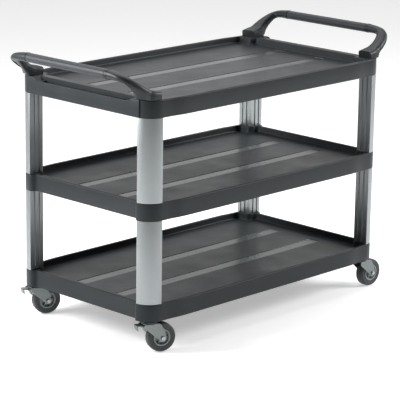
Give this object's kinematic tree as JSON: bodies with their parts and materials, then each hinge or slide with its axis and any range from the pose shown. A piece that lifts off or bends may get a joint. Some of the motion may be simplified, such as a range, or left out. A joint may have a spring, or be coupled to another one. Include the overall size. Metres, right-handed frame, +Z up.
{
  "type": "food service trolley",
  "caption": "Three-shelf service trolley with recessed moulded trays, aluminium corner posts, a push handle at each end and swivel casters, some braked.",
  "frame": {"origin": "on the floor, under the middle of the trolley", "axes": "+X along the trolley towards its right handle, +Y across it to the back, +Z up"},
  "size_m": [1.3374, 0.6624, 0.9572],
  "materials": {
    "moulding": "dark grey structural foam moulding, satin",
    "grip": "grey moulded grip sleeve, fine texture",
    "post": "satin anodised extrusion",
    "zinc": "zinc plated pressed steel",
    "steel": "bright plated steel",
    "tyre": "dark grey non-marking tyre",
    "hub": "mid grey nylon",
    "bush": "natural nylon"
  },
  "bodies": {
    "root": {"shelf_bottom": "moulding", "shelf_middle": "moulding", "shelf_top": "moulding", "post_lower_front_left": "post", "post_lower_back_left": "post", "post_lower_front_right": "post", "post_lower_back_right": "post", "post_upper_front_left": "post", "post_upper_back_left": "post", "post_upper_front_right": "post", "post_upper_back_right": "post", "handle_left": "moulding", "grip_left": "grip", "handle_right": "moulding", "grip_right": "grip", "handle_bolt_front_left": "steel", "handle_bolt_back_left": "steel", "handle_bolt_front_right": "steel", "handle_bolt_back_right": "steel", "caster_stem_front_left": "steel", "swivel_race_front_left": "zinc", "caster_stem_back_left": "steel", "swivel_race_back_left": "zinc", "caster_stem_front_right": "steel", "swivel_race_front_right": "zinc", "caster_stem_back_right": "steel", "swivel_race_back_right": "zinc"},
    "swivel_front_left": {"fork_front_left": "zinc", "axle_bolt_front_left": "steel", "axle_nut_front_left": "steel", "axle_bush_front_left": "bush", "pedal_pin_front_left": "steel"},
    "wheel_front_left": {"wheel_hub_front_left": "hub", "tyre_front_left": "tyre"},
    "pedal_front_left": {"brake_pedal_front_left": "zinc"},
    "swivel_back_left": {"fork_back_left": "zinc", "axle_bolt_back_left": "steel", "axle_nut_back_left": "steel", "axle_bush_back_left": "bush", "pedal_pin_back_left": "steel"},
    "wheel_back_left": {"wheel_hub_back_left": "hub", "tyre_back_left": "tyre"},
    "pedal_back_left": {"brake_pedal_back_left": "zinc"},
    "swivel_front_right": {"fork_front_right": "zinc", "axle_bolt_front_right": "steel", "axle_nut_front_right": "steel", "axle_bush_front_right": "bush"},
    "wheel_front_right": {"wheel_hub_front_right": "hub", "tyre_front_right": "tyre"},
    "swivel_back_right": {"fork_back_right": "zinc", "axle_bolt_back_right": "steel", "axle_nut_back_right": "steel", "axle_bush_back_right": "bush"},
    "wheel_back_right": {"wheel_hub_back_right": "hub", "tyre_back_right": "tyre"}
  },
  "joints": [
    {"name": "swivel_turn_front_left", "type": "hinge", "parent": "root", "child": "swivel_front_left", "pos_m": [-0.545, -0.285, 0.1037], "axis": [0, 0, 1], "continuous": true},
    {"name": "wheel_roll_front_left", "type": "hinge", "parent": "swivel_front_left", "child": "wheel_front_left", "pos_m": [-0.50791, -0.29998, 0.05], "axis": [0.3746, 0.9272, 0], "continuous": true},
    {"name": "brake_press_front_left", "type": "hinge", "parent": "swivel_front_left", "child": "pedal_front_left", "pos_m": [-0.56818, -0.27564, 0.0942], "axis": [0.3746, 0.9272, 0], "range_deg": [-20, 0]},
    {"name": "swivel_turn_back_left", "type": "hinge", "parent": "root", "child": "swivel_back_left", "pos_m": [-0.545, 0.285, 0.1037], "axis": [0, 0, 1], "continuous": true},
    {"name": "wheel_roll_back_left", "type": "hinge", "parent": "swivel_back_left", "child": "wheel_back_left", "pos_m": [-0.50741, 0.27132, 0.05], "axis": [0.342, 0.9397, 0], "continuous": true},
    {"name": "brake_press_back_left", "type": "hinge", "parent": "swivel_back_left", "child": "pedal_back_left", "pos_m": [-0.56849, 0.29355, 0.0942], "axis": [0.342, 0.9397, 0], "range_deg": [-20, 0]},
    {"name": "swivel_turn_front_right", "type": "hinge", "parent": "root", "child": "swivel_front_right", "pos_m": [0.545, -0.285, 0.1037], "axis": [0, 0, 1], "continuous": true},
    {"name": "wheel_roll_front_right", "type": "hinge", "parent": "swivel_front_right", "child": "wheel_front_right", "pos_m": [0.58495, -0.28709, 0.05], "axis": [0.0523, 0.9986, 0], "continuous": true},
    {"name": "swivel_turn_back_right", "type": "hinge", "parent": "root", "child": "swivel_back_right", "pos_m": [0.545, 0.285, 0.1037], "axis": [0, 0, 1], "continuous": true},
    {"name": "wheel_roll_back_right", "type": "hinge", "parent": "swivel_back_right", "child": "wheel_back_right", "pos_m": [0.58381, 0.27532, 0.05], "axis": [0.2419, 0.9703, 0], "continuous": true}
  ]
}
